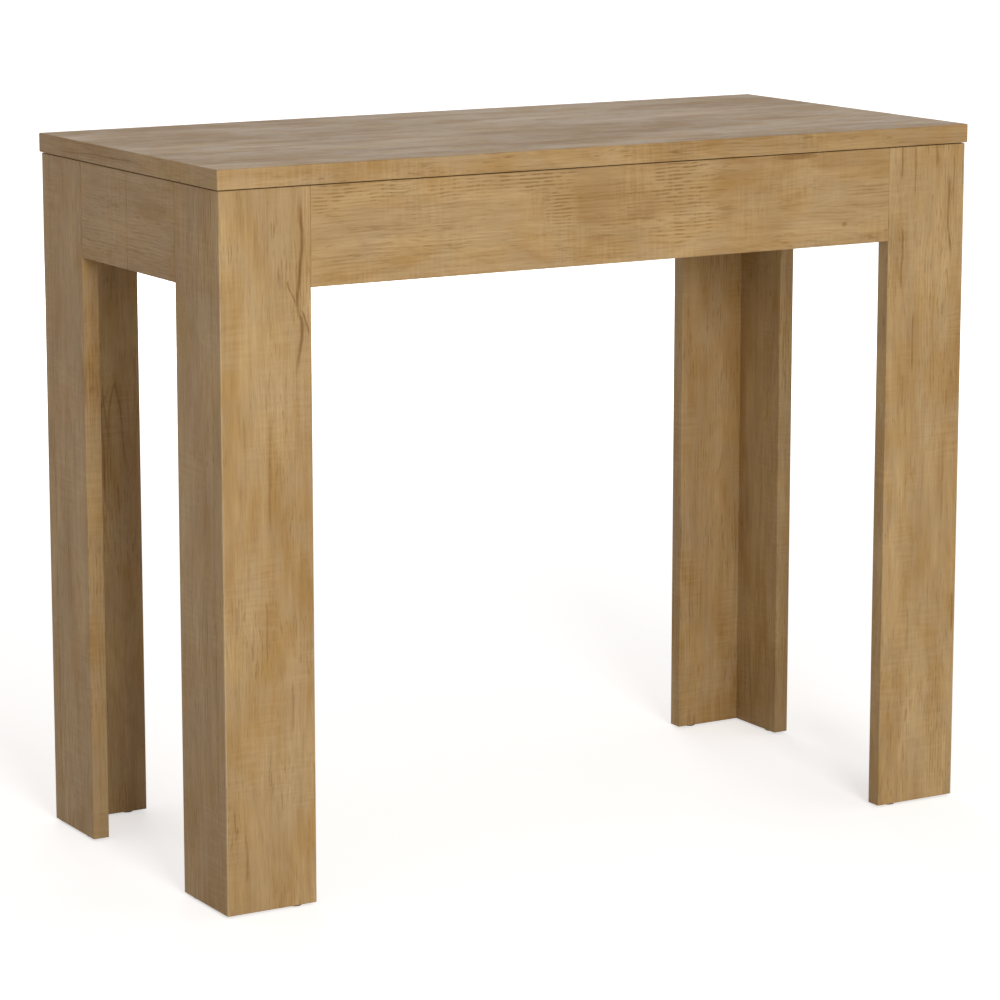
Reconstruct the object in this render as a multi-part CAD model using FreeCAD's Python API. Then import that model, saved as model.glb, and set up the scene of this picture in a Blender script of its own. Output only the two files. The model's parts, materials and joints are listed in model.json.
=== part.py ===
import FreeCAD, Part
import math
import os

# Extending console table, closed. Sizes in millimetres.
# The origin is on the floor under the middle of the table, +X along the front to the right,
# +Y to the back and +Z up. The table parts at y = 0: the rear half carries the top, and the
# front half slides out along -Y on two packs of aluminium bars.

# Table
top_length = 900.0
top_depth = 420.0
top_thickness = 20.0
table_height = 747.0
top_overhang = 2.0
top_gap = 1.0
leaf_length = 520.0
leaf_count = 3

# Frame boards
board_thickness = 18.0
leg_width = 100.0
leg_depth = 98.0
apron_height = 100.0
split_gap = 0.2
edge_break = 0.6
rail_split_gap = 35.0
rail_apron_gap = 25.0

# Slide bars
bar_width = 20.0
bar_height = 40.0
bar_wall = 2.0
bar_gap = 2.0
bar_side_clearance = 1.0
bar_end_clearance = 1.0
bar_rail_gap = 2.0
channel_mouth = 10.0
channel_width = 18.0
channel_depth = 8.0
glide_space = 1.25
running_clearance = 0.2
least_bar_overlap = 100.0
stop_gap = 0.5
cap_thickness = 2.0
plug_length = 15.0
plug_fit = 0.05

# Screws and spacers
screw_diameter = 4.0
screw_head_diameter = 7.0
screw_head_height = 2.6
screw_room = 0.6
screw_bite_fit = 0.1
rail_screw_spacing = 40.0
rail_screw_tip = 4.0
top_screw_end_inset = 45.0
top_screw_rail_inset = 15.0
top_screw_rows = 3
top_screw_bite = 11.0
screw_sides = 8
spacer_width = 16.0
spacer_margin = 12.0
pad_length = 30.0
pad_width = 12.0
pad_apron_inset = 60.0
bumper_clearance = 0.2

# Dowels
dowel_diameter = 8.0
dowel_length = 30.0
dowel_face_depth = 11.0
dowel_fit = 0.2
dowel_end_room = 0.5
dowel_sides = 8
leg_dowels = 3
leg_dowel_inset = 60.0
apron_dowel_inset = 25.0

# Cam locks and their bolts
cam_diameter = 15.0
cam_depth = 12.5
cam_fit = 0.2
cam_distance = 34.0
cam_bore = 7.4
cam_slot = 1.8
cam_slot_length = 9.0
cam_inset = 25.0
cam_sides = 10
bolt_thread_diameter = 6.0
bolt_thread_length = 11.0
bolt_diameter = 5.0
bolt_hole = 8.0
bolt_head_diameter = 6.8
bolt_head_length = 3.0
bolt_past_cam_centre = 2.0
rail_fixing_inset = 20.0

# Foot glides
foot_height = 2.0
foot_diameter = 15.0
foot_edge = 0.8
foot_sides = 12
foot_inset = 20.0

# Plan of the frame: outer and inner faces of the boards
outer_x = top_length / 2 - top_overhang
outer_y = top_depth / 2 - top_overhang
inner_x = outer_x - board_thickness
inner_y = outer_y - board_thickness
leg_inner_x = outer_x - leg_width
leg_inner_y = outer_y - leg_depth
side_middle_x = outer_x - board_thickness / 2
end_middle_y = outer_y - board_thickness / 2
rail_outer_y = inner_y - rail_apron_gap
rail_middle_y = (rail_split_gap + rail_outer_y) / 2

# Levels
top_underside = table_height - top_thickness
frame_top = top_underside - top_gap
apron_bottom = frame_top - apron_height
bar_bottom = frame_top - bar_height
bar_middle = frame_top - bar_height / 2
rail_top = bar_bottom - bar_rail_gap
rail_bottom = rail_top - board_thickness
rail_middle = rail_top - board_thickness / 2
apron_cam_level = apron_bottom + cam_inset
apron_dowel_level = frame_top - apron_dowel_inset

# Slide travel: enough steps to pass all the leaves with the least overlap kept between bars
bar_length = 2 * (inner_y - bar_end_clearance - cap_thickness)
bar_end = bar_length / 2
travel = leaf_length * leaf_count
slide_steps = math.ceil(travel / (bar_length - least_bar_overlap))
stroke = travel / slide_steps
glide_length = (bar_length - stroke - stop_gap) / 2
bar_pitch = bar_width + bar_gap
first_bar_x = inner_x - bar_side_clearance
last_bar_x = first_bar_x - slide_steps * bar_pitch

# Half sizes across a bar, measured from its middle height
bar_half = bar_height / 2
mouth_half = channel_mouth / 2
channel_half = channel_width / 2
web_half = channel_half + bar_wall


def vec(x, y, z):
    return FreeCAD.Vector(x, y, z)


right = vec(1, 0, 0)
back = vec(0, 1, 0)
up = vec(0, 0, 1)
centre = vec(0, 0, 0)


# Basic solids

def block(x, y, z):
    """Box between a pair of limits along each axis."""
    size = [limits[1] - limits[0] for limits in (x, y, z)]
    return Part.makeBox(*size, vec(x[0], y[0], z[0]))


def board(x, y, z):
    """Board with all its edges broken."""
    blank = block(x, y, z)
    return blank.makeChamfer(edge_break, blank.Edges)


def rod(start, axis, diameter, length, sides):
    """Faceted round bar along one of the main axes, with its corners on the diameter."""
    across = vec(axis.y, axis.z, axis.x) * (diameter / 2)
    beside = axis.cross(across)
    corners = []
    for corner in range(sides):
        angle = 2 * math.pi * corner / sides
        corners.append(start + across * math.cos(angle) + beside * math.sin(angle))
    return Part.Face(Part.makePolygon(corners + corners[:1])).extrude(axis * length)


def turned(start, axis, steps):
    """Stepped screw or bolt: (diameter, length) steps end to end along the axis."""
    rods = []
    for diameter, length in steps:
        rods.append(rod(start, axis, diameter, length, screw_sides))
        start = start + axis * length
    return rods[0].multiFuse(rods[1:]).removeSplitter()


def in_mirror(shapes, normal):
    return [shape.mirror(centre, normal) for shape in shapes]


def both_sides(shapes):
    """Right-hand shapes and their left-hand mirror images."""
    return shapes + in_mirror(shapes, right)


# Joinery

def dowel(seam, axis, before, after):
    """Dowel that reaches before and after a seam along the axis, and the hole for it."""
    pin = rod(seam - axis * before, axis, dowel_diameter, before + after, dowel_sides)
    hole_start = seam - axis * (before + dowel_end_room)
    hole_length = before + after + 2 * dowel_end_room
    hole = rod(hole_start, axis, dowel_diameter + dowel_fit, hole_length, dowel_sides)
    return pin, hole


def cam_fixing(seam, axis, face):
    """Cam lock, bolt and holes. The bolt is screwed in behind the seam, and the cam lies along
    the axis from there, turned from the board face that face points to."""
    cam_centre = seam + axis * cam_distance
    pocket_floor = cam_centre + face * (board_thickness / 2 - cam_depth)
    cam_height = cam_depth - cam_fit
    cam_top = pocket_floor + face * cam_height
    bore_length = cam_diameter + bolt_past_cam_centre + cam_fit
    bore = rod(cam_centre - axis * cam_diameter, axis, cam_bore, bore_length, screw_sides)
    slot_start = cam_top - axis * (cam_slot_length / 2)
    slot = rod(slot_start, axis, cam_slot, cam_slot_length, screw_sides)
    cam = rod(pocket_floor, face, cam_diameter - cam_fit, cam_height, cam_sides).cut([bore, slot])

    shank = cam_distance + bolt_past_cam_centre - bolt_head_length
    bolt = turned(seam - axis * bolt_thread_length, axis, [
        (bolt_thread_diameter, bolt_thread_length),
        (bolt_diameter, shank),
        (bolt_head_diameter, bolt_head_length),
    ])

    thread_hole = bolt_thread_diameter + screw_bite_fit
    thread_depth = bolt_thread_length + dowel_end_room
    holes = [
        rod(seam - axis * thread_depth, axis, thread_hole, thread_depth, screw_sides),
        rod(seam, axis, bolt_hole, cam_distance, screw_sides),
        rod(pocket_floor, face, cam_diameter, cam_depth, cam_sides),
    ]
    return cam, bolt, holes


def foot(x, y):
    """Glide under a leg board, with its lower rim bevelled."""
    disc = rod(vec(x, y, 0), up, foot_diameter, foot_height, foot_sides)
    rim = [edge for edge in disc.Edges if edge.BoundBox.ZMax < foot_height / 2]
    return disc.makeChamfer(foot_edge, rim)


def corner_fittings():
    """Dowels, cams and bolts of the right rear corner, and the holes they need."""
    dowels, cams, bolts, holes = [], [], [], []

    def add_dowel(seam, axis, before):
        pin, hole = dowel(seam, axis, before, dowel_length - before)
        dowels.append(pin)
        holes.append(hole)

    def add_cam(seam, axis, face):
        cam, bolt, drilled = cam_fixing(seam, axis, face)
        cams.append(cam)
        bolts.append(bolt)
        holes.extend(drilled)

    # Leg corner: the end board covers the edge of the side board
    lowest = foot_height + leg_dowel_inset
    spacing = (frame_top - leg_dowel_inset - lowest) / (leg_dowels - 1)
    for row in range(leg_dowels):
        add_dowel(vec(side_middle_x, inner_y, lowest + row * spacing), -back, dowel_face_depth)

    # Aprons against the edges of the leg boards: a dowel above and a cam below
    add_dowel(vec(leg_inner_x, end_middle_y, apron_dowel_level), -right, dowel_length / 2)
    add_dowel(vec(side_middle_x, leg_inner_y, apron_dowel_level), -back, dowel_length / 2)
    add_cam(vec(leg_inner_x, end_middle_y, apron_cam_level), -right, -back)
    add_cam(vec(side_middle_x, leg_inner_y, apron_cam_level), -back, -right)

    # Cross rail against the side: a cam on the apron and a dowel on the leg
    add_cam(vec(inner_x, rail_split_gap + rail_fixing_inset, rail_middle), -right, -up)
    leg_fixing_y = rail_outer_y - rail_fixing_inset
    add_dowel(vec(inner_x, leg_fixing_y, rail_middle), -right, dowel_face_depth)
    return dowels, cams, bolts, holes


def edge_pads(thickness):
    """Pads on the top edges of the rear apron and of the rear legs' side boards."""
    x = leg_inner_x - pad_apron_inset
    y = (leg_inner_y + inner_y) / 2
    level = (frame_top, frame_top + thickness)
    half_length = pad_length / 2
    half_width = pad_width / 2
    on_apron = block(
        (x - half_length, x + half_length),
        (end_middle_y - half_width, end_middle_y + half_width),
        level,
    )
    on_leg = block(
        (side_middle_x - half_width, side_middle_x + half_width),
        (y - half_length, y + half_length),
        level,
    )
    return both_sides([on_apron, on_leg])


# Slide bars, with x across the bar from its outer face, y along it and z from its middle

def slab(x0, x1, half):
    return [(x0, half), (x1, half), (x1, -half), (x0, -half)]


def tee(face, start, play):
    """Outline that fills the channel of the bar whose outer face is at face, from start inwards,
    and stays clear of that channel by play all round."""
    neck = mouth_half - play
    head = channel_half - play
    head_start = face + bar_wall + play
    head_end = face + channel_depth - play
    upper = [(start, neck), (head_start, neck), (head_start, head), (head_end, head)]
    return upper + [(x, -z) for x, z in reversed(upper)]


def prism(outline, y0, y1):
    points = [vec(x, y0, z) for x, z in outline]
    return Part.Face(Part.makePolygon(points + points[:1])).extrude(back * (y1 - y0))


channel = tee(0, 0, 0)
tongue = tee(bar_pitch, bar_width, glide_space)
sleeve_tee = tee(bar_pitch, bar_width, running_clearance)
liner_slot = tee(0, 0, glide_space - running_clearance)


def outer_cells(y0, y1, fit):
    """The hollows above and below the channel, shrunk by fit."""
    x = (bar_wall + fit, bar_width - bar_wall - fit)
    near = web_half + fit
    far = bar_half - bar_wall - fit
    return [block(x, (y0, y1), (near, far)), block(x, (y0, y1), (-far, -near))]


def slide_bar(with_tongue):
    """Extruded bar: a box with a channel on its outer side, and a tongue for the next bar."""
    body = prism(slab(0, bar_width, bar_half), -bar_end, bar_end)
    hollows = outer_cells(-bar_end, bar_end, 0)
    hollows.append(prism(channel, -bar_end, bar_end))
    middle_cell = slab(channel_depth + bar_wall, bar_width - bar_wall, channel_half)
    hollows.append(prism(middle_cell, -bar_end, bar_end))
    bar = body.cut(hollows)
    if with_tongue:
        bar = bar.fuse(prism(tongue, -bar_end, bar_end)).removeSplitter()
    return bar


def front_glide(with_sleeve):
    """Nylon cap on the front end, with a sleeve on the tongue that runs in the next bar."""
    y0 = -bar_end - cap_thickness
    y1 = -bar_end
    cap = prism(slab(0, bar_width, bar_half), y0, y1).cut(prism(channel, y0, y1))
    pieces = outer_cells(y1, y1 + plug_length, plug_fit)
    if with_sleeve:
        pieces.append(prism(sleeve_tee, y0, y1))
        sleeve_end = y1 + glide_length
        sleeve_start = bar_pitch + bar_wall + running_clearance
        sleeve_back = bar_pitch + channel_depth - running_clearance
        around = slab(sleeve_start, sleeve_back, channel_half - running_clearance)
        pieces.append(prism(around, y1, sleeve_end).cut(prism(tongue, y1, sleeve_end)))
    return cap.multiFuse(pieces).removeSplitter()


def rear_glide(with_liner):
    """Nylon cap on the rear end, with a liner in the channel round the tongue before it."""
    y0 = bar_end
    y1 = bar_end + cap_thickness
    cap = prism(slab(0, bar_width, bar_half), y0, y1)
    pieces = outer_cells(y0 - plug_length, y0, plug_fit)
    if with_liner:
        cap = cap.cut(prism(liner_slot, y0, y1))
        liner_start = y0 - glide_length
        filling = slab(bar_wall + plug_fit, channel_depth - plug_fit, channel_half - plug_fit)
        liner = prism(filling, liner_start, y0).cut(prism(liner_slot, liner_start, y0))
        pieces.append(liner)
    return cap.multiFuse(pieces).removeSplitter()


def on_right(shape, step):
    """A bar piece turned from its own axes to its step of the right-hand pack."""
    turned_in = shape.mirror(centre, right)
    turned_in.translate(vec(first_bar_x - step * bar_pitch, 0, bar_middle))
    return turned_in


# Screws that hold the packs and the top

def spacer_strip(x, rows, bottom, thickness):
    """Flat packing strip under or over a bar, drilled for its screws."""
    limits = (rows[0] - spacer_margin, rows[-1] + spacer_margin)
    strip_x = (x - spacer_width / 2, x + spacer_width / 2)
    holes = [free_hole(x, y, bottom, thickness) for y in rows]
    return block(strip_x, limits, (bottom, bottom + thickness)).cut(holes)


def free_hole(x, y, bottom, length):
    return rod(vec(x, y, bottom), up, screw_diameter + screw_room, length, screw_sides)


def bite_hole(x, y, bottom, length):
    return rod(vec(x, y, bottom), up, screw_diameter + screw_bite_fit, length, screw_sides)


def upright_screw(x, y, seat, length):
    """Screw with its head under the level of its seat and its shank up from there."""
    return turned(vec(x, y, seat - screw_head_height), up, [
        (screw_head_diameter, screw_head_height),
        (screw_diameter, length),
    ])


def rail_fixings(bar_x):
    """Screws up through the rear cross rail into a bar, the strip between, and the holes."""
    x = bar_x - bar_width / 2
    half_spacing = rail_screw_spacing / 2
    rows = [rail_middle_y - half_spacing, rail_middle_y + half_spacing]
    length = board_thickness + bar_rail_gap + bar_wall + rail_screw_tip
    screws = [upright_screw(x, y, rail_bottom, length) for y in rows]
    strip = spacer_strip(x, rows, rail_top, bar_rail_gap)
    rail_holes = [free_hole(x, y, rail_bottom, board_thickness) for y in rows]
    bar_holes = [bite_hole(x, y, bar_bottom, bar_wall) for y in rows]
    return screws, strip, rail_holes, bar_holes


def top_fixings():
    """Screws up through the first bar into the top, the strip between, and the holes."""
    x = first_bar_x - (bar_width + channel_depth) / 2
    first_row = -bar_end + top_screw_end_inset
    last_row = rail_split_gap - top_screw_rail_inset
    row_spacing = (last_row - first_row) / (top_screw_rows - 1)
    rows = [first_row + row * row_spacing for row in range(top_screw_rows)]
    seat = bar_middle - web_half
    length = top_underside - seat + top_screw_bite
    screws = [upright_screw(x, y, seat, length) for y in rows]
    strip = spacer_strip(x, rows, frame_top, top_gap)
    access = screw_head_diameter + screw_room
    bar_holes = [rod(vec(x, y, bar_bottom), up, access, bar_wall, screw_sides) for y in rows]
    bar_holes += [free_hole(x, y, seat, frame_top - seat) for y in rows]
    pilots = [bite_hole(x, y, top_underside, top_screw_bite + dowel_end_room) for y in rows]
    return screws, strip, bar_holes, pilots


nodes = {}

# Top, and the screws that hold it to the first bars of both packs
top_screws, top_strip, top_bar_holes, top_pilots = top_fixings()
top = board(
    (-top_length / 2, top_length / 2),
    (-top_depth / 2, top_depth / 2),
    (top_underside, table_height),
)
nodes["table_top"] = [top.cut(both_sides(top_pilots))]
nodes["top_screws"] = both_sides(top_screws)
nodes["top_spacers"] = both_sides([top_strip]) + edge_pads(top_gap)

# The two halves of the frame: the front half is the rear one in the mirror at the split
dowels, cams, bolts, corner_holes = corner_fittings()
feet = [
    foot(leg_inner_x + foot_inset, end_middle_y),
    foot(side_middle_x, leg_inner_y + foot_inset),
]
leg_level = (foot_height, frame_top)
apron_level = (apron_bottom, frame_top)
side_x = (inner_x, outer_x)
end_y = (inner_y, outer_y)
corner_boards = {
    "leg_end_board": board((leg_inner_x, outer_x), end_y, leg_level),
    "leg_side_board": board(side_x, (leg_inner_y, inner_y), leg_level),
    "side_apron": board(side_x, (split_gap / 2, leg_inner_y), apron_level),
}
apron = board((-leg_inner_x, leg_inner_x), end_y, apron_level)
rail = board((-inner_x, inner_x), (rail_split_gap, rail_outer_y), (rail_bottom, rail_top))

for half, held_bar_x in (("rear", first_bar_x), ("front", last_bar_x)):
    screws, strip, rail_holes, bar_holes = rail_fixings(held_bar_x)
    pieces = {
        f"{half}_apron": [apron.cut(both_sides(corner_holes))],
        f"{half}_cross_rail": [rail.cut(both_sides(corner_holes + rail_holes))],
        f"{half}_dowels": both_sides(dowels),
        f"{half}_cam_locks": both_sides(cams),
        f"{half}_cam_bolts": both_sides(bolts),
        f"{half}_foot_glides": both_sides(feet),
        f"{half}_slide_screws": both_sides(screws),
        f"{half}_slide_spacers": both_sides([strip]),
    }
    for name, blank in corner_boards.items():
        drilled = [blank.cut(corner_holes)]
        pieces[f"{half}_right_{name}"] = drilled
        pieces[f"{half}_left_{name}"] = in_mirror(drilled, right)

    if half == "rear":
        rear_bar_holes = bar_holes
    else:
        pieces["front_bumpers"] = edge_pads(top_gap - bumper_clearance)
        pieces = {name: in_mirror(shapes, back) for name, shapes in pieces.items()}
        front_bar_holes = in_mirror(bar_holes, back)
    nodes.update(pieces)

# The two packs of bars: the first bar is held by the rear half and the last by the front half
for step in range(slide_steps + 1):
    is_first = step == 0
    is_last = step == slide_steps
    bar = on_right(slide_bar(with_tongue=not is_last), step)
    glides = [
        on_right(front_glide(with_sleeve=not is_last), step),
        on_right(rear_glide(with_liner=not is_first), step),
    ]
    if is_first:
        bar_name = "rear_{}_slide_bar"
        bar = bar.cut(rear_bar_holes + top_bar_holes)
        nodes["rear_slide_end_glides"] = both_sides(glides)
    elif is_last:
        bar_name = "front_{}_slide_bar"
        bar = bar.cut(front_bar_holes)
        nodes["front_slide_end_glides"] = both_sides(glides)
    else:
        bar_name = f"{{}}_slide_bar_{step}"
        nodes[f"right_slide_glides_{step}"] = glides
        nodes[f"left_slide_glides_{step}"] = in_mirror(glides, right)
    nodes[bar_name.format("right")] = [bar]
    nodes[bar_name.format("left")] = in_mirror([bar], right)

os.makedirs("parts", exist_ok=True)
for name, shapes in nodes.items():
    shape = shapes[0] if len(shapes) == 1 else Part.makeCompound(shapes)
    shape.exportStep(f"parts/{name}.step")
print(f"{len(nodes)} nodes, {slide_steps} slide steps of {stroke:g}, travel {travel:g}")
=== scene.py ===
import json
import math
from collections import namedtuple

import bmesh
import bpy
from mathutils import Matrix, Vector


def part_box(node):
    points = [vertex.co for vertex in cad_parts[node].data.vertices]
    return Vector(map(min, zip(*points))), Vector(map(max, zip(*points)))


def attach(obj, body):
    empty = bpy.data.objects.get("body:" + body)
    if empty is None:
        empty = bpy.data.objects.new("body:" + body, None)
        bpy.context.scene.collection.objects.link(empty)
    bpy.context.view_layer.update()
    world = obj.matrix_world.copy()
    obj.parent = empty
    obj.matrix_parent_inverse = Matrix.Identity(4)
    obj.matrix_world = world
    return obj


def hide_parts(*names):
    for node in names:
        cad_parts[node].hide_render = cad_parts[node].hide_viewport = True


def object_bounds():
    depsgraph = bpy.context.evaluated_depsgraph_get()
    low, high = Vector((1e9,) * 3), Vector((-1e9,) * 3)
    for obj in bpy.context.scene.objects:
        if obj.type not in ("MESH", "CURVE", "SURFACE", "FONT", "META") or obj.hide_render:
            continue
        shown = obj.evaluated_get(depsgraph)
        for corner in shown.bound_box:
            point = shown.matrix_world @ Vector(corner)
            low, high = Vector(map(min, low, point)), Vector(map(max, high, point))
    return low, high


# Looks of the extending console table, in metres, in the frame's own axes: +X along the front to
# the right, +Y to the back, +Z up. The front half of the frame slides out along -Y.

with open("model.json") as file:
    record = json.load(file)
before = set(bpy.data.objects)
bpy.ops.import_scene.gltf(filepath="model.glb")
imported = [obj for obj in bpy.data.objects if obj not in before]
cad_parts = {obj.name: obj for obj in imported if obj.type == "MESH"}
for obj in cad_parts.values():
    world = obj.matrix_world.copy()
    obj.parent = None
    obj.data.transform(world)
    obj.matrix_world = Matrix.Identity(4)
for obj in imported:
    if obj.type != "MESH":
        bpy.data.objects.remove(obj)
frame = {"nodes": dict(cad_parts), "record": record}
cad_low, cad_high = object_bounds()

X, Y, Z = 0, 1, 2
SIDES = ("left", "right")
HALVES = ("rear", "front")
merge_distance = 1e-5

# Rounding of the boards' edges: sharp where boards meet, softer on the corners that hands touch
joint_rounding = 0.0008
corner_rounding = 0.0014
rounding_steps = 3

# Holes that are drilled in the boards for their fittings
drill_sides = 40
dowel_hole = 0.0082
cam_hole = 0.0150
bolt_hole = 0.0072
screw_hole = 0.0046
drill_overrun = 0.002
least_reach = 0.001

# How finely the fittings are turned
round_sides = 40
screw_sides = 20
dowel_flutes = 10

# Camera, fitted to the corners of the table in the photograph
camera_azimuth = -30.59
camera_elevation = 10.44
camera_distance = 4.106
camera_target = Vector((-0.008, 0.005, 0.399))
camera_sensor = 36
camera_lens = 136.9
camera_shift_y = -0.05


def colour(red, green, blue):
    """A display colour, 0 to 255 each, as the shaders take it."""
    linear = []
    for value in (red / 255, green / 255, blue / 255):
        linear.append(value / 12.92 if value < 0.04 else ((value + 0.055) / 1.055) ** 2.4)
    return (*linear, 1.0)


# Oak decor colours
oak_pale = colour(182, 152, 105)
oak_golden = colour(166, 132, 80)
oak_deep = colour(136, 101, 53)
oak_washed = colour(167, 143, 108)
oak_pore = colour(108, 74, 24)
oak_crack = colour(101, 62, 12)
# Pale tone of the rounded upright corners: a painted highlight, partly also rubbing
oak_worn_highlight = colour(184, 164, 130)
oak_ripple = colour(200, 174, 132)


# Shader maths

class Wire:
    """A socket in a material's nodes that takes part in Python maths."""

    def __init__(self, tree, socket):
        self.tree = tree
        self.socket = socket

    def node(self, kind, settings, sockets, output=0):
        """Any node: its settings are set first, then the values or links of its sockets."""
        made = self.tree.nodes.new("ShaderNode" + kind)
        for name, value in settings.items():
            if name == "points":
                fill_curve(made.mapping, value)
            else:
                setattr(made, name, value)
        for name, value in sockets.items():
            if isinstance(value, Wire):
                self.tree.links.new(value.socket, made.inputs[name])
            else:
                made.inputs[name].default_value = value
        return Wire(self.tree, made.outputs[output])

    def feeds(self, shader, name):
        self.tree.links.new(self.socket, shader.inputs[name])

    def maths(self, operation, *values):
        return self.node("Math", {"operation": operation}, dict(enumerate(values)))

    def __add__(self, other):
        return self.maths("ADD", self, other)

    def __radd__(self, other):
        return self.maths("ADD", other, self)

    def __sub__(self, other):
        return self.maths("SUBTRACT", self, other)

    def __rsub__(self, other):
        return self.maths("SUBTRACT", other, self)

    def __mul__(self, other):
        return self.maths("MULTIPLY", self, other)

    def __abs__(self):
        return self.maths("ABSOLUTE", self)

    def larger(self, other):
        return self.maths("MAXIMUM", self, other)

    def rise(self, low, high):
        """0 up to low and 1 from high, or the other way round where low is the larger."""
        smooth = {"interpolation_type": "SMOOTHSTEP"}
        return self.node("MapRange", smooth, {0: self, 1: low, 2: high})

    def mix(self, none, full):
        """The colour none where this value is 0 and the colour full where it is 1."""
        return self.node("Mix", {"data_type": "RGBA"}, {0: self, 6: none, 7: full}, 2)


def fill_curve(mapping, points):
    """Draws the line of a curve node through points."""
    line = mapping.curves[0]
    line.points[0].location = points[0]
    line.points[-1].location = points[-1]
    for point in points[1:-1]:
        line.points.new(*point)
    mapping.update()


def new_material(name):
    """A material, its shader, and the three coordinates of the surface."""
    material = bpy.data.materials.new(name)
    material.use_nodes = True
    tree = material.node_tree
    place = Wire(tree, tree.nodes.new("ShaderNodeTexCoord").outputs["Object"])
    axes = [place.node("SeparateXYZ", {}, {0: place}, axis) for axis in (X, Y, Z)]
    return material, tree.nodes["Principled BSDF"], axes


def raised(height, depth, strength):
    """The normal of a surface that a height, 0 to 1, lifts by depth."""
    return height.node("Bump", {}, {"Strength": strength, "Distance": depth, "Height": height})


# Oak decor

Grain = namedtuple("Grain", "along across through")
Place = namedtuple("Place", "right up")
Marks = namedtuple("Marks", "dashes lines cracks shade pale")

grain_wander = 0.022
growth_rings = 17
foil_relief = 0.0003

# Rows that a saw leaves: their distance, how far they bend and tremble, and the step that makes
# each row break off in other places than the one beside it
row_pitch = 0.0038
row_bend = 0.012
row_tremble = 0.0032
row_step = 7.3


def noise(grain, along, across, detail=2.0, shift=0.0):
    """Noise with that many features to the metre along the grain and across it."""
    drawn = grain.along.node("CombineXYZ", {}, {
        X: grain.along * along + shift,
        Y: grain.across * across,
        Z: grain.through * across,
    })
    return drawn.node("TexNoise", {}, {"Vector": drawn, "Scale": 1.0, "Detail": detail})


def grain_rows(grain, to_the_metre, least, most):
    """Rows of dark dashes that lie along the grain, as a saw leaves them."""
    bend = (noise(grain, 7, 9, 1, 3.1) - 0.5) * row_bend
    tremble = (noise(grain, 38, 120, 1, 4.7) - 0.5) * row_tremble
    rows = (grain.across + grain.through + bend + tremble) * (1 / row_pitch)
    row = rows.maths("FLOOR", rows)
    drawn = row.node("CombineXYZ", {}, {
        X: grain.along * to_the_metre,
        Y: row * row_step,
        Z: grain.across * 40,
    })
    broken = row.node("TexNoise", {}, {"Vector": drawn, "Scale": 1.0, "Detail": 1.0})
    return abs(rows - row - 0.5).rise(0.42, 0.0) * broken.rise(least, most)


def oval(place, right, up, half_width, half_height):
    """1 in the middle of an oval patch on an upright face, falling to 0 at its rim."""
    across = (place.right - right) * (1 / half_width)
    above = (place.up - up) * (1 / half_height)
    return (across * across + above * above).rise(1.0, 0.30)


def crack_line(place, line, width):
    """A dark crack that runs down a board through points (right, up), and the shaded zone along it."""
    rights = [right for right, up in line]
    left = min(rights)
    swing = max(rights) - left
    top = line[0][1]
    drop = top - line[-1][1]
    down = (top - place.up) * (1 / drop)
    points = [((top - up) / drop, (right - left) / swing) for right, up in line]
    curve = down.node("FloatCurve", {"points": points}, {"Value": down})
    off = abs(place.right - left - curve * swing)
    ends = down.rise(-0.06, 0.14) * down.rise(1.06, 0.80)
    return off.rise(width, width * 0.1) * ends, off.rise(width * 7, 0) * ends


def strongest(values):
    """The largest of several values."""
    most = values[0]
    for value in values[1:]:
        most = most.larger(value)
    return most


def scattered_marks(place, grain):
    """Marks at random, for the faces that have none of their own."""
    seam = noise(grain, 2.6, 34, 2, 12.5)
    where = noise(grain, 5, 9, 1, 13.0).rise(0.58, 0.70)
    return Marks(
        dashes=noise(grain, 6, 17, 1, 11.0).rise(0.56, 0.74) * 0.5,
        lines=noise(grain, 4, 12, 1, 14.0).rise(0.46, 0.66),
        cracks=abs(seam - 0.5).rise(0.012, 0.002) * where * 0.36,
        shade=abs(seam - 0.5).rise(0.07, 0.0) * where * 0.4,
        pale=noise(grain, 6, 22, 1, 15.0).rise(0.55, 0.72) * 0.5,
    )


def contrasted(tone, contrast):
    """A tone set further from the golden one."""
    return tuple(max(0.0, gold + (part - gold) * contrast) for part, gold in zip(tone, oak_golden))


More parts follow.
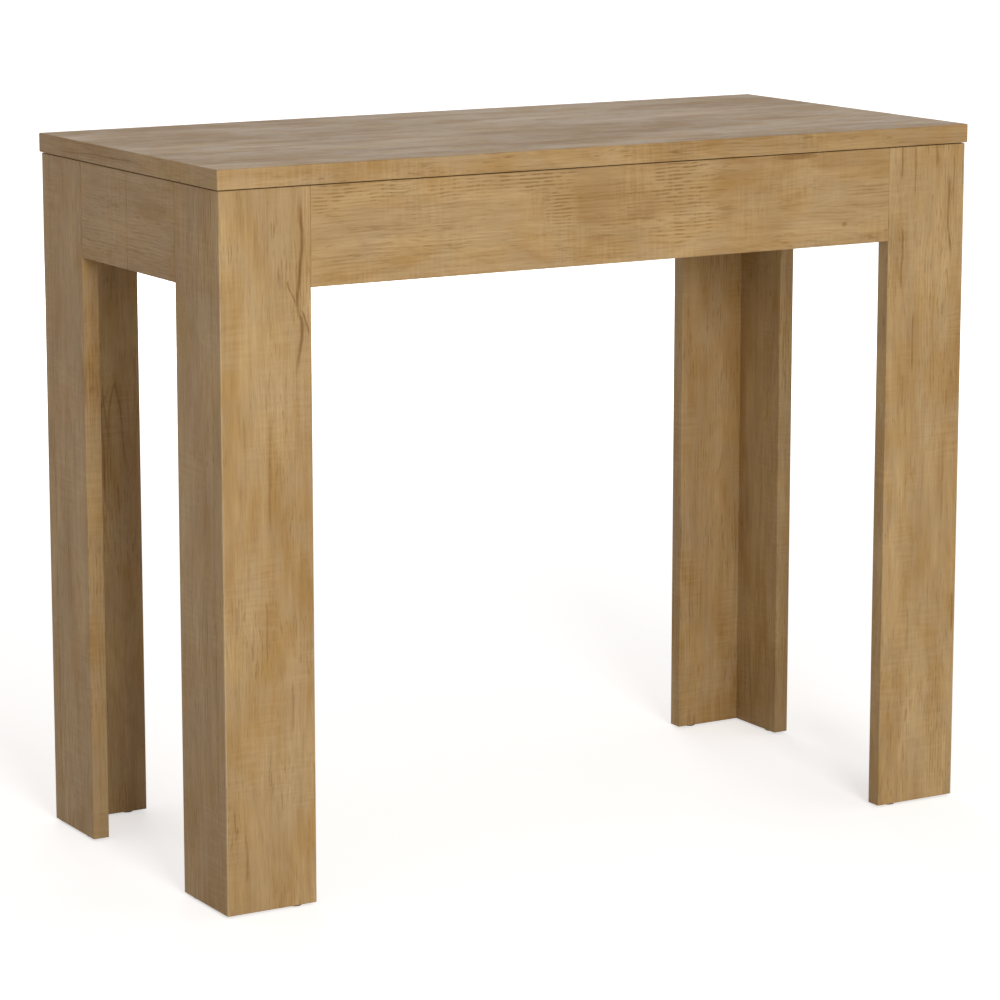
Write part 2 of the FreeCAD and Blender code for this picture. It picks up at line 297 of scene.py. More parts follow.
def oak(name, grain_axis, marks=scattered_marks, node=None, contrast=1.2, worn_highlight=0.0, gloss=0.20,
        clouded_gloss=0.0):
    """Oak decor foil with its grain along an axis. Marks draws the dashes, cracks, shaded and pale
    zones of a face, on places measured from the lower left corner of a node's front. Contrast sets
    its tones apart, worn_highlight is how far a corner's rounding is painted pale, as a painted
    highlight and partly as rubbing, and clouded_gloss how unevenly it shines."""
    material, shader, axes = new_material(name)
    across_axis, through_axis = [axis for axis in (X, Y, Z) if axis != grain_axis]
    straight = Grain(axes[grain_axis], axes[across_axis], axes[through_axis])
    wander = (noise(straight, 2.2, 11) - 0.5) * grain_wander
    grain = Grain(straight.along, straight.across + wander, straight.through + wander)

    broad = noise(grain, 3.2, 13, 1, 5.0).rise(0.34, 0.68)
    blotch = noise(grain, 9, 36, 2, 1.7).rise(0.32, 0.70)
    washed = noise(grain, 4.5, 20, 2, 8.4).rise(0.52, 0.74)
    mottle = noise(grain, 20, 34, 3, 19.0).rise(0.40, 0.64)
    streak = noise(grain, 8, 150, 3, 2.6).rise(0.36, 0.72)
    thread = noise(grain, 22, 420, 2, 2.1).rise(0.36, 0.70)
    fibre = noise(grain, 40, 1100, 2, 4.4).rise(0.35, 0.70)
    pore = noise(grain, 75, 1300, 1, 6.2).rise(0.60, 0.72)
    rippled = noise(grain, 11, 14, 1, 20.0).rise(0.42, 0.62)
    ripple = noise(grain, 300, 30, 2, 7.5).rise(0.36, 0.70) * rippled
    ticked = noise(grain, 12, 20, 1, 22.0).rise(0.42, 0.62)
    tick = noise(straight, 60, 560, 1, 21.0).rise(0.58, 0.70) * ticked
    rings = noise(grain, 1.7, 8, 1, 9.2) * growth_rings
    ring = abs(rings - rings.maths("ROUND", rings)).rise(0.18, 0.0)

    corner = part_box(node)[0] if node else Vector((0, 0, 0))
    drawn = marks(Place(axes[X] - corner.x, axes[Z] - corner.z), straight)
    nick = noise(straight, 190, 22, 1, 16.0).rise(0.60, 0.44)
    dash = grain_rows(straight, 62, 0.38, 0.56) * drawn.dashes * (0.45 + nick * 0.55)
    line = grain_rows(straight, 18, 0.36, 0.62) * drawn.lines.larger(drawn.dashes * 0.6)

    pale = contrasted(oak_pale, contrast)
    deep = contrasted(oak_deep, contrast)
    clouded = contrasted(oak_washed, 1 + (contrast - 1) * 0.3)
    base = blotch.mix(pale, oak_golden)
    for mask, strength, tone in (
        (broad, 0.36, deep),
        (washed, 0.45, clouded),
        (mottle, 0.42, clouded),
        (drawn.pale, 0.60, clouded),
        (streak, 0.20, deep),
        (drawn.shade, 0.80, oak_deep),
        (ring, 0.12, deep),
        (thread, 0.13, deep),
        (fibre, 0.20, deep),
        (ripple, 0.14, oak_ripple),
        (pore * streak, 0.34, oak_pore),
        (tick, 0.38, oak_pore),
        (drawn.dashes, 0.35, pale),
        (line, 0.42, oak_pore),
        (dash, 0.64, oak_pore),
        (drawn.cracks, 1.00, oak_crack),
    ):
        base = (mask * strength).mix(base, tone)
    # Painted highlight on the corner roundings, partly also rubbed pale
    if worn_highlight:
        base = (worn_highlight - fibre * (worn_highlight / 2)).mix(base, oak_worn_highlight)
    base.feeds(shader, "Base Color")

    sunk = pore * 0.4 + dash * 0.5 + drawn.cracks + (1 - fibre) * 0.25
    raised(1 - sunk, foil_relief, 0.5).feeds(shader, "Normal")
    dull = 0.47 + fibre * 0.10 + pore * 0.12 + drawn.cracks * 0.2
    if clouded_gloss:
        dull = dull + (streak * 0.25 + broad * 0.45 + mottle * -0.30 - 0.2) * clouded_gloss
    dull.feeds(shader, "Roughness")
    shader.inputs["Specular IOR Level"].default_value = gloss
    return material


# Marks of the three boards that face the viewer, in metres from the lower left corner of each

def apron_marks(place, grain):
    """Saw dashes in patches, faint lines between them, an arched figure and a knot. A patch is its
    middle (right, up), its half width and half height, and its strength."""
    dash_patches = [
        (0.045, 0.094, 0.085, 0.018, 0.80),
        (0.010, 0.088, 0.016, 0.024, 0.60),
        (0.170, 0.090, 0.060, 0.018, 0.70),
        (0.256, 0.094, 0.060, 0.016, 0.95),
        (0.286, 0.060, 0.024, 0.030, 0.80),
        (0.432, 0.080, 0.052, 0.030, 1.00),
        (0.436, 0.042, 0.052, 0.036, 0.80),
    ]
    line_patches = [
        (0.365, 0.046, 0.110, 0.054, 0.65),
        (0.110, 0.060, 0.130, 0.034, 0.45),
        (0.120, 0.024, 0.150, 0.030, 0.55),
        (0.674, 0.053, 0.040, 0.024, 0.90),
        (0.600, 0.030, 0.080, 0.030, 0.40),
    ]
    shaded_zones = [
        (0.350, 0.082, 0.125, 0.068, 0.48),
        (0.525, 0.066, 0.075, 0.064, 0.42),
        (0.578, 0.097, 0.034, 0.004, 0.80),
        (0.640, 0.090, 0.060, 0.014, 0.30),
    ]
    pale_zones = [
        (0.036, 0.042, 0.042, 0.026, 0.50),
        (0.188, 0.052, 0.075, 0.032, 0.45),
        (0.462, 0.092, 0.045, 0.018, 0.40),
        (0.645, 0.046, 0.065, 0.032, 0.60),
    ]
    knot = (0.638, 0.022, 0.0042, 0.0030, 0.40)
    wedge = (0.572, 0.098, 0.030, 0.0042, 0.30)
    arched_zone = (0.520, 0.055, 0.060, 0.070, 0.26)
    arch_tip = 0.475
    arch_level = 0.055
    arch_bend = 34
    arches_to_the_metre = 62

    def patches(*listed):
        return strongest([oval(place, *patch[:4]) * patch[4] for patch in listed])

    above = place.up - arch_level
    wobble = noise(grain, 14, 30, 1, 17.0) * 1.6
    arch = (place.right - arch_tip - above * above * arch_bend) * arches_to_the_metre + wobble
    arches = (arch.maths("SINE", arch * math.tau) * 0.5 + 0.5).rise(0.45, 1.0)
    return Marks(
        dashes=patches(*dash_patches),
        lines=patches(*line_patches),
        cracks=patches(knot, wedge),
        shade=patches(*shaded_zones).larger(arches * patches(arched_zone)),
        pale=patches(*pale_zones),
    )


def leg_marks(lines, rows):
    """Cracks along lines of (points, width, strength), as marks of a leg's front. Rows is how
    clearly the rows along its grain show."""
    def marks(place, grain):
        scattered = scattered_marks(place, grain)
        uneven = noise(grain, 60, 200, 2, 18.0).rise(0.25, 0.55) * 0.45 + 0.55
        cracks = []
        zones = []
        for points, width, strength in lines:
            crack, zone = crack_line(place, points, width)
            cracks.append(crack * strength)
            zones.append(zone * (strength * 0.6))
        return scattered._replace(
            lines=scattered.lines * rows,
            cracks=strongest(cracks) * uneven,
            shade=strongest(zones),
        )
    return marks


left_leg_lines = [
    ([(0.0886, 0.712), (0.0892, 0.690), (0.0904, 0.674), (0.0886, 0.653), (0.0866, 0.630),
      (0.0845, 0.612), (0.0866, 0.598), (0.0894, 0.586), (0.0878, 0.568), (0.0848, 0.552),
      (0.0830, 0.538)], 0.0031, 0.66),
    ([(0.0740, 0.633), (0.0746, 0.627), (0.0784, 0.619), (0.0835, 0.608)], 0.0016, 0.60),
    ([(0.0890, 0.603), (0.0937, 0.591), (0.0963, 0.581), (0.0968, 0.577)], 0.0016, 0.60),
    ([(0.0520, 0.500), (0.0530, 0.450), (0.0518, 0.420), (0.0524, 0.375)], 0.0024, 0.30),
    ([(0.0250, 0.500), (0.0256, 0.460), (0.0248, 0.405)], 0.0020, 0.20),
    ([(0.0470, 0.315), (0.0476, 0.290), (0.0466, 0.262)], 0.0020, 0.35),
    ([(0.0140, 0.315), (0.0146, 0.300), (0.0138, 0.280)], 0.0020, 0.25),
    ([(0.0750, 0.230), (0.0758, 0.205), (0.0746, 0.180)], 0.0020, 0.30),
    ([(0.0220, 0.075), (0.0226, 0.055), (0.0214, 0.032)], 0.0022, 0.35),
]
right_leg_lines = [
    ([(0.0165, 0.726), (0.0172, 0.706), (0.0164, 0.688)], 0.0016, 0.45),
    ([(0.0340, 0.726), (0.0346, 0.700), (0.0337, 0.668)], 0.0018, 0.35),
    ([(0.0618, 0.726), (0.0626, 0.712), (0.0616, 0.698)], 0.0016, 0.40),
    ([(0.0800, 0.690), (0.0798, 0.668), (0.0788, 0.645), (0.0815, 0.622), (0.0850, 0.602)],
     0.0020, 0.60),
    ([(0.0160, 0.640), (0.0192, 0.610), (0.0176, 0.590), (0.0186, 0.570)], 0.0018, 0.45),
    ([(0.0350, 0.545), (0.0344, 0.515), (0.0356, 0.480)], 0.0018, 0.45),
    ([(0.0220, 0.478), (0.0226, 0.460), (0.0216, 0.440)], 0.0018, 0.35),
    ([(0.0780, 0.405), (0.0786, 0.360), (0.0776, 0.310)], 0.0022, 0.25),
    ([(0.0950, 0.230), (0.0956, 0.210), (0.0946, 0.185)], 0.0016, 0.45),
    ([(0.0350, 0.220), (0.0356, 0.195), (0.0346, 0.165)], 0.0020, 0.30),
]

oak_along = {axis: oak("oak_along_" + "xyz"[axis], axis) for axis in (X, Y, Z)}
# Decor of the upright corners' roundings, painted pale: a painted highlight, partly also rubbing
worn_highlight_corner = oak("oak_worn_highlight_corner", Z, worn_highlight=0.45)
front_faces = {
    "front_apron": oak("oak_front_apron", X, apron_marks, "front_apron"),
    "front_left_leg_end_board": oak(
        "oak_front_left_leg", Z, leg_marks(left_leg_lines, 0.4), "front_left_leg_end_board"),
    "front_right_leg_end_board": oak(
        "oak_front_right_leg", Z, leg_marks(right_leg_lines, 1.0), "front_right_leg_end_board"),
}
upper_faces = {
    "table_top": oak("oak_table_top", X, contrast=1.5, gloss=0.45, clouded_gloss=0.23),
}


# Other finishes

Finish = namedtuple("Finish", "material slot")


def plain_finish(name, slot, low, high, features, roughness, metallic=0.0, stretch=(1, 1, 1),
                 dent=0.0001):
    """A finish between two close colours, with fine relief: features to the metre, drawn out by
    stretch along each axis."""
    material, shader, place = new_material(name)
    drawn = place[X].node("CombineXYZ", {}, {
        axis: place[axis] * (features / stretch[axis]) for axis in (X, Y, Z)
    })
    fine = drawn.node("TexNoise", {}, {"Vector": drawn, "Scale": 1.0, "Detail": 3.0})
    cloud = drawn.node("TexNoise", {}, {"Vector": drawn, "Scale": 0.07, "Detail": 2.0})
    tone = (fine * 0.6 + cloud * 0.4).rise(0.35, 0.65)
    tone.mix(low, high).feeds(shader, "Base Color")
    (roughness - 0.08 + fine * 0.16).feeds(shader, "Roughness")
    raised(fine, dent, 0.35).feeds(shader, "Normal")
    shader.inputs["Metallic"].default_value = metallic
    return Finish(material, slot)


drawn_along_y = (1, 400, 1)
extruded_aluminium = plain_finish(
    "extruded_aluminium", "slide_aluminium", colour(160, 162, 165), colour(190, 192, 194),
    features=1600, roughness=0.36, metallic=1.0, stretch=drawn_along_y, dent=0.00006)
black_nylon = plain_finish(
    "black_nylon", "glide_nylon", colour(34, 34, 36), colour(46, 46, 48),
    features=2200, roughness=0.46)
black_plastic = plain_finish(
    "black_plastic", "black_plastic", colour(26, 26, 27), colour(38, 38, 39),
    features=1800, roughness=0.55)
brown_plastic = plain_finish(
    "brown_foot_plastic", "foot_plastic", colour(84, 62, 42), colour(98, 74, 51),
    features=1500, roughness=0.50)
cast_zinc = plain_finish(
    "cast_zinc", "zinc_fitting", colour(150, 150, 152), colour(182, 182, 184),
    features=900, roughness=0.42, metallic=1.0)
turned_zinc = plain_finish(
    "turned_zinc", "zinc_fitting", colour(168, 168, 166), colour(196, 196, 192),
    features=1400, roughness=0.32, metallic=1.0)
plated_steel = plain_finish(
    "plated_steel", "zinc_screw", colour(186, 184, 176), colour(214, 211, 200),
    features=1400, roughness=0.28, metallic=1.0)
raw_beech = plain_finish(
    "raw_beech", "beech_dowel", colour(196, 158, 112), colour(222, 190, 146),
    features=700, roughness=0.70)
chipboard = plain_finish(
    "chipboard_core", "oak_board", colour(128, 98, 64), colour(196, 164, 118),
    features=700, roughness=0.85, dent=0.0006)


# Modelling

Box = namedtuple("Box", "low high")


def only(*pieces):
    """Selects these pieces alone, the first one active."""
    bpy.ops.object.select_all(action="DESELECT")
    for piece in pieces:
        piece.select_set(True)
    bpy.context.view_layer.objects.active = pieces[0]


def settled(name):
    """Names the piece just added and puts its place into its mesh."""
    piece = bpy.context.object
    bpy.ops.object.transform_apply(location=True, rotation=True, scale=True)
    piece.name = name
    piece.data.name = name
    return piece


def block(name, low, high):
    """A square block between two corners."""
    bpy.ops.object.select_all(action="DESELECT")
    bpy.ops.mesh.primitive_cube_add(size=1, location=(low + high) / 2, scale=high - low)
    return settled(name)


def drill(centre, axis, diameter, length):
    """A round drill along one of the main axes."""
    quarter = math.pi / 2
    turn = {X: (0, quarter, 0), Y: (quarter, 0, 0), Z: (0, 0, 0)}[axis]
    bpy.ops.object.select_all(action="DESELECT")
    bpy.ops.mesh.primitive_cylinder_add(
        vertices=drill_sides, radius=diameter / 2, depth=length, location=centre, rotation=turn)
    return settled("drill")


def turned(name, sides, steps):
    """A round piece up its own z axis, through (radius, height) steps from its lower end."""
    radius, height = steps[0]
    bpy.ops.object.select_all(action="DESELECT")
    bpy.ops.mesh.primitive_circle_add(
        vertices=sides, radius=radius, fill_type="NGON", location=(0, 0, height))
    piece = settled(name)
    bpy.ops.object.mode_set(mode="EDIT")
    bpy.ops.mesh.select_all(action="SELECT")
    for wider, higher in steps[1:]:
        rise = (0, 0, higher - height)
        bpy.ops.mesh.extrude_region_move(TRANSFORM_OT_translate={"value": rise})
        share = wider / radius
        bpy.ops.transform.resize(value=(share, share, 1), center_override=(0, 0, higher))
        radius, height = wider, higher
    bpy.ops.mesh.select_all(action="SELECT")
    bpy.ops.mesh.normals_make_consistent(inside=False)
    bpy.ops.object.mode_set(mode="OBJECT")
    return piece


def apply_modifier(piece, kind, **settings):
    """Adds a modifier with these settings and applies it."""
    modifier = piece.modifiers.new(kind.lower(), kind)
    for name, value in settings.items():
        setattr(modifier, name, value)
    only(piece)
    bpy.ops.object.modifier_apply(modifier=modifier.name)


def cut_away(piece, *cutters):
    """Takes the cutters out of the piece. The cut faces keep the cutters' material."""
    for cutter in cutters:
        apply_modifier(piece, "BOOLEAN", operation="DIFFERENCE", solver="EXACT", object=cutter,
                       material_mode="TRANSFER")
        bpy.data.objects.remove(cutter)


def even_shading(piece, angle):
    """Smooth shading over edges up to an angle, with the large faces left flat."""
    only(piece)
    bpy.ops.object.shade_smooth_by_angle(angle=math.radians(angle))
    apply_modifier(piece, "WEIGHTED_NORMAL", keep_sharp=True)


def copies(model, name, places):
    """One piece of several copies of a model, each at its place."""
    made = []
    for place in places:
        copy = bpy.data.objects.new(name, model.data.copy())
        copy.data.transform(place)
        bpy.context.collection.objects.link(copy)
        made.append(copy)
    only(*made)
    bpy.ops.object.join()
    bpy.data.objects.remove(model)
    return made[0]


def solids(node):
    """The boxes round the separate solids in a CAD node."""
    mesh = bmesh.new()
    mesh.from_mesh(frame["nodes"][node].data)
    bmesh.ops.remove_doubles(mesh, verts=mesh.verts, dist=merge_distance)
    left = set(mesh.verts)
    boxes = []
    while left:
        reached = [left.pop()]
        for vert in reached:
            near = {edge.other_vert(vert) for edge in vert.link_edges} & left
            left -= near
            reached.extend(near)
        points = [vert.co.copy() for vert in reached]
        low = Vector([min(p[axis] for p in points) for axis in (X, Y, Z)])
        high = Vector([max(p[axis] for p in points) for axis in (X, Y, Z)])
        boxes.append(Box(low, high))
    mesh.free()
    return sorted(boxes, key=lambda box: tuple(box.low))


def axis_of(size, pick):
    """The axis along which a size is largest or smallest."""
    return pick((X, Y, Z), key=lambda axis: size[axis])


body_of = {}
for body, held in frame["record"]["behaviour"]["bodies"].items():
    for node in held:
        body_of[node] = body


def stands_for(piece, node):
    """Hands a finished piece over: it takes its node's place and moves with its body."""
    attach(piece, body_of[node])
    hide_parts(node)


# Boards

Fitting = namedtuple("Fitting", "low high diameter axis open")


def fittings_of(half):
    """What is let into the boards of one half of the frame."""
    found = []
    for kind, diameter, is_open in (
        ("dowels", dowel_hole, False),
        ("cam_bolts", bolt_hole, False),
        ("slide_screws", screw_hole, False),
        ("cam_locks", cam_hole, True),
    ):
        for low, high in solids(f"{half}_{kind}"):
            axis = axis_of(high - low, min if is_open else max)
            found.append(Fitting(low, high, diameter, axis, is_open))
    return found


def drills_for(low, high, fittings):
    """Drills for the fittings that reach into a board between two corners."""
    drills = []
    middle = (low + high) / 2
    for fitting in fittings:
        reach = [min(high[a], fitting.high[a]) - max(low[a], fitting.low[a]) for a in (X, Y, Z)]
        if min(reach) < least_reach:
            continue
        start = fitting.low.copy()
        end = fitting.high.copy()
        if fitting.open and (start + end)[fitting.axis] / 2 > middle[fitting.axis]:
            end[fitting.axis] += drill_overrun
        elif fitting.open:
            start[fitting.axis] -= drill_overrun
        length = (end - start)[fitting.axis]
        cutter = drill((start + end) / 2, fitting.axis, fitting.diameter, length)
        cutter.data.materials.append(chipboard.material)
        drills.append(cutter)
    return drills


def face_finish(node, normal_axis, sign, grain_axis, thin_axis):
    """The decor of one face of a board. An edge has its band's grain along the edge."""
    if normal_axis == thin_axis:
        drawn_faces = front_faces if sign < 0 else upper_faces
        return drawn_faces.get(node, oak_along[grain_axis])
    return oak_along[X + Y + Z - normal_axis - thin_axis]


def lay_decor(board, node, size):
    """Gives each face of a square-edged board its decor."""
    grain_axis = axis_of(size, max)
    thin_axis = axis_of(size, min)
    laid = []
    for face in board.data.polygons:
        normal_axis = axis_of([abs(part) for part in face.normal], max)
        finish = face_finish(node, normal_axis, face.normal[normal_axis], grain_axis, thin_axis)
        if finish not in laid:
            laid.append(finish)
            board.data.materials.append(finish)
        face.material_index = laid.index(finish)


frame_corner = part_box("rear_right_leg_end_board")[1]

# Smallest part of a face's normal that counts as leaning towards an axis
flat_limit = 0.02


def is_corner(node, ends):
    """True for an edge that lies on an outer corner of the table."""
    if node == "table_top":
        return max(end.z for end in ends) > cad_high.z - merge_distance
    stands = abs(ends[0].z - ends[1].z) > frame_corner.z / 2
    at_side = all(abs(abs(end.x) - frame_corner.x) < merge_distance for end in ends)
    at_end = all(abs(abs(end.y) - frame_corner.y) < merge_distance for end in ends)
    return stands and at_side and at_end


def round_edges(board, node):
    """Rounds the edges of a board, its outer corners most."""
    joint_share = joint_rounding / corner_rounding
    weights = board.data.attributes.new("bevel_weight_edge", "FLOAT", "EDGE")
    for edge in board.data.edges:
        ends = [board.data.vertices[index].co for index in edge.vertices]
        weights.data[edge.index].value = 1.0 if is_corner(node, ends) else joint_share
    apply_modifier(board, "BEVEL", limit_method="WEIGHT", width=corner_rounding,
                   segments=rounding_steps)


def is_worn_highlight(centre, normal):
    """True for a face on the rounding of one of the table's four upright corners. Such faces take the
    pale corner tone, a painted highlight that also stands for rubbing.
    """
    if abs(normal.x) < flat_limit or abs(normal.y) < flat_limit:
        return False
    below_top = centre.z <= frame_corner.z - joint_rounding
    at_side = abs(centre.x) > frame_corner.x - corner_rounding
    at_end = abs(centre.y) > frame_corner.y - corner_rounding
    return below_top and at_side and at_end


def model_board(node, fittings):
    """A faced board with rounded edges and drilled holes in the place of its CAD node."""
    low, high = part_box(node)
    board = block(node + "_faced", low, high)
    lay_decor(board, node, high - low)
    round_edges(board, node)
    # Faces on the upright corners' roundings take the pale corner decor, a painted highlight
    if "leg" in node:
        board.data.materials.append(worn_highlight_corner)
    for face in board.data.polygons:
        if is_worn_highlight(face.center, face.normal):
            face.material_index = len(board.data.materials) - 1
    cut_away(board, *drills_for(low, high, fittings))
    even_shading(board, angle=40)
    stands_for(board, node)


for half in HALVES:
    fittings = fittings_of(half)
    names = [f"{half}_apron", f"{half}_cross_rail"]
    for side in SIDES:
        for board in ("leg_end_board", "leg_side_board", "side_apron"):
            names.append(f"{half}_{side}_{board}")
    for name in names:
        model_board(name, fittings)

top_fittings = [Fitting(low, high, screw_hole, Z, False) for low, high in solids("top_screws")]
model_board("table_top", top_fittings)


# Fittings let into the boards

def threaded(radius, depth, pitch, start, end):
    """Steps of (radius, height) over the ridges of a thread."""
    steps = []
    for turn in range(math.floor((end - start) / pitch)):
        height = start + turn * pitch
        steps += [(radius - depth, height), (radius, height + pitch * 0.5)]
    return steps + [(radius - depth, end)]


def cross_recess(piece, level, width, slot, depth):
    """Cuts a cross for the screwdriver into the end of a piece that lies at a level."""
    middle = Vector((0, 0, level))
    for across, beside in ((width, slot), (slot, width)):
        corner = Vector((across / 2, beside / 2, depth))
        cut_away(piece, block("recess", middle - corner, middle + corner))


def model_cam(height, bolt_level):
    """A cam with a bevelled rim, a cross in its head, and a mouth for the bolt towards -x."""
    radius = 0.0074
    rim = 0.0007
    mouth_diameter = 0.0074
    mouth_end = 0.0022
    mouth_length = 2 * radius
    cam = turned("cam", round_sides, [
        (radius - rim, 0),
        (radius, rim),
        (radius, height - rim),
        (radius - rim, height),
    ])
    mouth_middle = Vector((mouth_end - mouth_length / 2, 0, bolt_level))
    cut_away(cam, drill(mouth_middle, X, mouth_diameter, mouth_length))
    cross_recess(cam, level=height, width=0.0090, slot=0.0018, depth=0.0016)
    return cam


def model_bolt(length):
    """A cam bolt: thread below, plain shank, necked head above."""
    tip_radius = 0.0018
    thread_radius = 0.0030
    thread_end = 0.0108
    shank_radius = 0.0025
    neck_radius = 0.0019
    head_radius = 0.0034
    head = length - 0.0030
    return turned("bolt", round_sides, [
        (tip_radius, 0),
        *threaded(thread_radius, depth=0.0006, pitch=0.0020, start=0.0008, end=thread_end),
        (shank_radius, thread_end + 0.0004),
        (shank_radius, head - 0.0016),
        (neck_radius, head - 0.0010),
        (neck_radius, head),
        (head_radius - 0.0005, head + 0.0002),
        (head_radius, head + 0.0010),
        (head_radius, head + 0.0020),
        (head_radius - 0.0007, length),
    ])


def model_screw(length):
    """A pan-head screw that stands on its head."""
    head_radius = 0.0035
    head_height = 0.0026
    shank_radius = 0.0017
    thread_radius = 0.0020
    thread_start = head_height + 0.0010
    thread_end = length - 0.0030
    point_radius = 0.0002
    screw = turned("screw", screw_sides, [
        (head_radius - 0.0013, 0),
        (head_radius - 0.0005, 0.0003),
        (head_radius - 0.0001, 0.0009),
        (head_radius, 0.0017),
        (head_radius, head_height),
        (shank_radius, head_height),
        *threaded(thread_radius, depth=0.0005, pitch=0.0016, start=thread_start, end=thread_end),
        (point_radius, length),
    ])
    cross_recess(screw, level=0, width=0.0036, slot=0.0008, depth=0.0015)
    return screw


def model_dowel(length):
    """A beech dowel with chamfered ends and pressed flutes."""
    radius = 0.0040
    end_radius = 0.0032
    chamfer = 0.0010
    flute_share = 0.93
    flute_steps = 4
    sides = dowel_flutes * flute_steps
    dowel = turned("dowel", sides, [
        (end_radius, 0),
        (radius, chamfer),
        (radius, length - chamfer),
        (end_radius, length),
    ])
    for vertex in dowel.data.vertices:
        step = round(math.atan2(vertex.co.y, vertex.co.x) / math.tau * sides)
        if step % flute_steps == 0:
            vertex.co.x *= flute_share
            vertex.co.y *= flute_share
    return dowel


def model_foot(height):
    """A nail-on foot glide: domed rim, and a recess in the middle for its nail."""
    radius = 0.0075
    recess_radius = 0.0022
    recess_depth = 0.0006
    return turned("foot", round_sides, [
        (recess_radius, recess_depth),
        (recess_radius + 0.0004, 0),
        (radius - 0.0021, 0),
        (radius - 0.0009, 0.0003),
        (radius - 0.0002, 0.0009),
        (radius, 0.0014),
        (radius, height),
    ])


def middle_of(box):
    """The middle point of a box."""
    return (box.low + box.high) / 2


def direction(axis, sign=1):
    """One step along an axis."""
    step = Vector((0, 0, 0))
    step[axis] = sign
    return step


def pointing(origin, along):
    """The place of a piece whose own z axis points along a direction."""
    return Matrix.Translation(origin) @ along.to_track_quat("Z", "Y").to_matrix().to_4x4()


def let_in(origin, along, out):
    """The place of a piece whose own x axis points along a direction and its z axis out of a face."""
    turn = Matrix((along, out.cross(along), out)).transposed()
    return Matrix.Translation(origin) @ turn.to_4x4()


def standing(box):
    """The place of a piece that stands in the middle of a box's floor."""
    middle = middle_of(box)
    return Matrix.Translation((middle.x, middle.y, box.low.z))


def lying(box):
    """The place of a piece whose own z axis runs along the longest side of a box."""
    axis = axis_of(box.high - box.low, max)
    start = middle_of(box)
    start[axis] = box.low[axis]
    return pointing(start, direction(axis))


CamJoint = namedtuple("CamJoint", "cam_place cam_height bolt_place bolt_level bolt_length")


def cam_joint(cam, bolts):
    """How a cam and the bolt nearest to it sit in their boards."""
    bolt = min(bolts, key=lambda box: (middle_of(box) - middle_of(cam)).length)
    bolt_axis = axis_of(bolt.high - bolt.low, max)
    face_axis = axis_of(cam.high - cam.low, min)
    offset = middle_of(cam) - middle_of(bolt)
    along = direction(bolt_axis, math.copysign(1, offset[bolt_axis]))
    out = direction(face_axis, math.copysign(1, offset[face_axis]))
    cam_floor = middle_of(cam)
    cam_floor[face_axis] = (cam.low if out[face_axis] > 0 else cam.high)[face_axis]
    thread_end = middle_of(bolt)
    thread_end[bolt_axis] = (bolt.low if along[bolt_axis] > 0 else bolt.high)[bolt_axis]
    return CamJoint(
        cam_place=let_in(cam_floor, along, out),
        cam_height=(cam.high - cam.low)[face_axis],
        bolt_place=pointing(thread_end, along),
        bolt_level=abs(middle_of(bolt)[face_axis] - cam_floor[face_axis]),
        bolt_length=(bolt.high - bolt.low)[bolt_axis],
    )


def fit_pieces(model, node, finish, places):
    """Puts a model at every place of a node's solids, as one piece."""
    model.data.materials.append(finish.material)
    piece = copies(model, node + "_modelled", places)
    even_shading(piece, angle=35)
    stands_for(piece, node)


for half in HALVES:
    bolts = solids(f"{half}_cam_bolts")
    joints = [cam_joint(cam, bolts) for cam in solids(f"{half}_cam_locks")]
    cam = model_cam(joints[0].cam_height, joints[0].bolt_level)
    fit_pieces(cam, f"{half}_cam_locks", cast_zinc, [joint.cam_place for joint in joints])
    bolt = model_bolt(joints[0].bolt_length)
    fit_pieces(bolt, f"{half}_cam_bolts", turned_zinc, [joint.bolt_place for joint in joints])

    dowels = solids(f"{half}_dowels")
    dowel = model_dowel(max(dowels[0].high - dowels[0].low))
    fit_pieces(dowel, f"{half}_dowels", raw_beech, [lying(box) for box in dowels])

    feet = solids(f"{half}_foot_glides")
    foot = model_foot(feet[0].high.z - feet[0].low.z)
    fit_pieces(foot, f"{half}_foot_glides", brown_plastic, [standing(box) for box in feet])

for node in ("rear_slide_screws", "front_slide_screws", "top_screws"):
    screws = solids(node)
    screw = model_screw(screws[0].high.z - screws[0].low.z)
    fit_pieces(screw, node, plated_steel, [standing(box) for box in screws])


# Extruded and moulded pieces, in the shape of their CAD node with their sharp edges softened

softened = {
    "slide_bar": (extruded_aluminium, 0.00030),
    "glides": (black_nylon, 0.00025),
    "spacers": (black_plastic, 0.00025),
    "bumpers": (black_plastic, 0.00025),
}


def soften(node, finish, rounding):
    """A copy of a CAD node's mesh with its sharp edges rounded, in its place."""
    piece = bpy.data.objects.new(node + "_softened", frame["nodes"][node].data.copy())
    bpy.context.collection.objects.link(piece)
    only(piece)
    bpy.ops.mesh.customdata_custom_splitnormals_clear()
    bpy.ops.object.mode_set(mode="EDIT")
    bpy.ops.mesh.select_all(action="SELECT")
    bpy.ops.mesh.remove_doubles(threshold=merge_distance)
    bpy.ops.mesh.dissolve_limited(angle_limit=math.radians(1))
    bpy.ops.object.mode_set(mode="OBJECT")
    apply_modifier(piece, "BEVEL", limit_method="ANGLE", angle_limit=math.radians(40),
                   width=rounding, segments=2)
    even_shading(piece, angle=50)
    piece.data.materials.clear()
    piece.data.materials.append(finish.material)
    stands_for(piece, node)


for node in frame["nodes"]:
    for word, (finish, rounding) in softened.items():
        if word in node and "foot" not in node:
            soften(node, finish, rounding)


# Floor, light and camera

# The floor's shade and glow, and how far from the middle it fades to plain white
floor_size = 60
floor_gap = 0.0005
floor_white = colour(226, 225, 222)
floor_glow = 0.58
fade_start = 1.0
fade_end = 3.0

# An even light from all round, and the distance of the softboxes
ambient_light = 0.425
ambient_tint = (1.0, 0.95, 0.955, 1.0)
softbox_distance = 4.5
white = (1, 1, 1, 1)


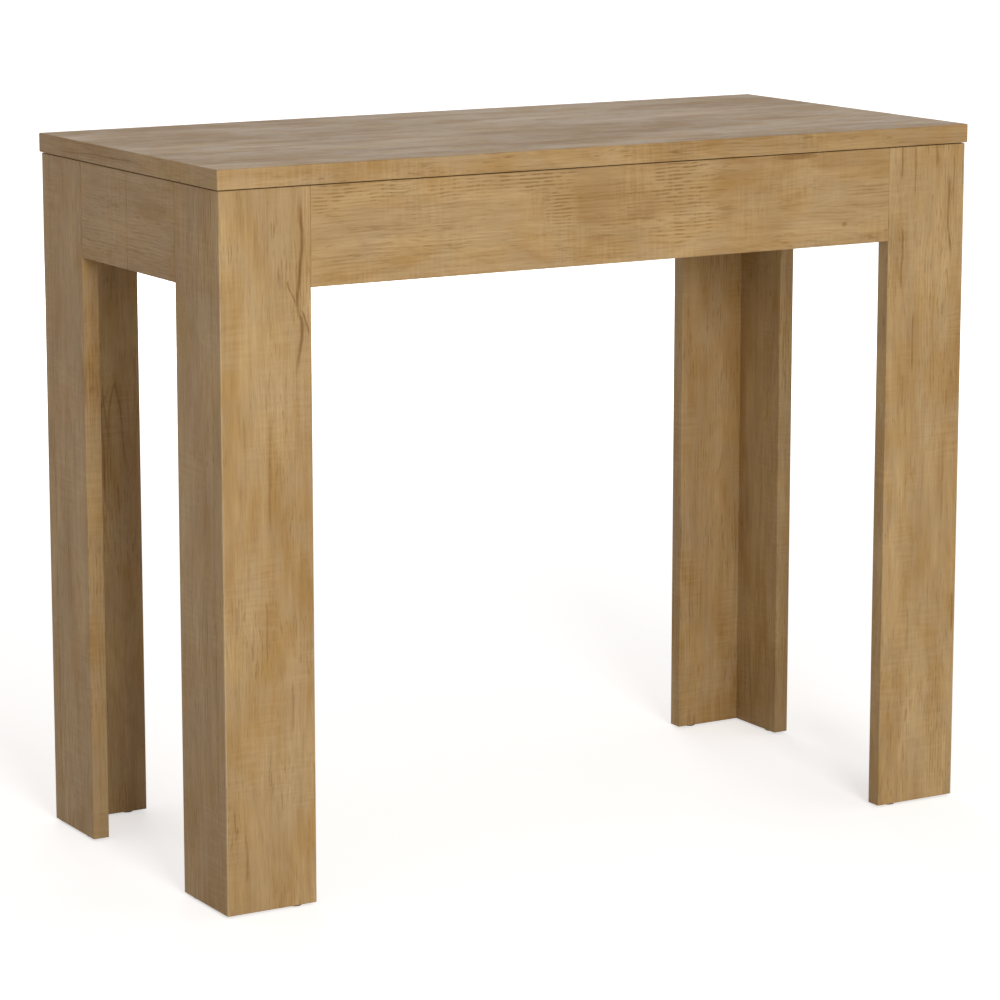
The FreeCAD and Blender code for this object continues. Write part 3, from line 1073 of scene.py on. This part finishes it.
def seen_directly(tree):
    """1 for the camera's own view and for reflections, 0 for the light on matt surfaces."""
    path = tree.nodes.new("ShaderNodeLightPath").outputs
    straight = Wire(tree, path["Is Camera Ray"])
    glossy = Wire(tree, path["Is Glossy Ray"])
    return straight.larger(glossy).larger(Wire(tree, path["Is Transmission Ray"]))


def floor_material():
    """A white floor that shows the table's shadow, and is plain white further off."""
    material, shader, place = new_material("studio_floor")
    tree = material.node_tree
    tree.nodes.remove(shader)
    seen = seen_directly(tree)
    away = place[X] * place[X] + place[Y] * place[Y]
    faded = away.rise(fade_start ** 2, fade_end ** 2)
    bright = seen * (floor_glow + faded * (1 - floor_glow))
    matt = seen.node("BsdfDiffuse", {}, {"Color": floor_white})
    glow = seen.node("Emission", {}, {"Color": white, "Strength": bright})
    both = seen.node("AddShader", {}, {0: matt, 1: glow})
    both.feeds(tree.nodes["Material Output"], "Surface")
    return material


def lay_floor():
    """The studio's floor, just below the feet."""
    bpy.ops.object.select_all(action="DESELECT")
    bpy.ops.mesh.primitive_plane_add(size=floor_size, location=(0, 0, cad_low.z - floor_gap))
    floor = settled("studio_floor")
    floor.data.materials.append(floor_material())


def studio_world():
    """White to the camera and to reflections, and a dimmer, warmer even light on matt surfaces."""
    world = bpy.data.worlds.new("studio")
    world.use_nodes = True
    tree = world.node_tree
    tree.nodes.clear()
    seen = seen_directly(tree)
    strength = ambient_light + seen * (1 - ambient_light)
    hue = seen.mix(ambient_tint, white)
    sky = seen.node("Background", {}, {"Color": hue, "Strength": strength})
    sky.feeds(tree.nodes.new("ShaderNodeOutputWorld"), "Surface")
    bpy.context.scene.world = world


def outward(azimuth, elevation):
    """The direction out to an azimuth, from the front round to the right, and an elevation, in
    degrees."""
    turn = math.radians(azimuth)
    tilt = math.radians(elevation)
    return Vector((
        math.sin(turn) * math.cos(tilt),
        -math.cos(turn) * math.cos(tilt),
        math.sin(tilt),
    ))


def soft_light(name, azimuth, elevation, size, watts):
    """A square softbox that looks at the middle of the table."""
    aim = (cad_low + cad_high) / 2
    back = outward(azimuth, elevation)
    bpy.ops.object.select_all(action="DESELECT")
    bpy.ops.object.light_add(type="AREA", location=aim + back * softbox_distance)
    lamp = bpy.context.object
    lamp.name = name
    lamp.data.size = size
    lamp.data.energy = watts
    lamp.rotation_mode = "QUATERNION"
    lamp.rotation_quaternion = back.to_track_quat("Z", "Y")
    return lamp


def set_camera():
    """A camera that sees the table as the photograph does."""
    back = outward(camera_azimuth, camera_elevation)
    bpy.ops.object.camera_add()
    camera = bpy.context.object
    camera.location = camera_target + back * camera_distance
    camera.rotation_mode = "QUATERNION"
    camera.rotation_quaternion = (-back).to_track_quat("-Z", "Y")
    camera.data.sensor_width = camera_sensor
    camera.data.lens = camera_lens
    camera.data.shift_y = camera_shift_y
    bpy.context.scene.camera = camera


lay_floor()
studio_world()
soft_light("front_softbox", azimuth=-12, elevation=14, size=1.4, watts=122)
rear_softbox = soft_light("rear_softbox", azimuth=160, elevation=12, size=1.8, watts=55)
rear_softbox.visible_glossy = False
set_camera()
bpy.context.scene.view_settings.view_transform = "Standard"
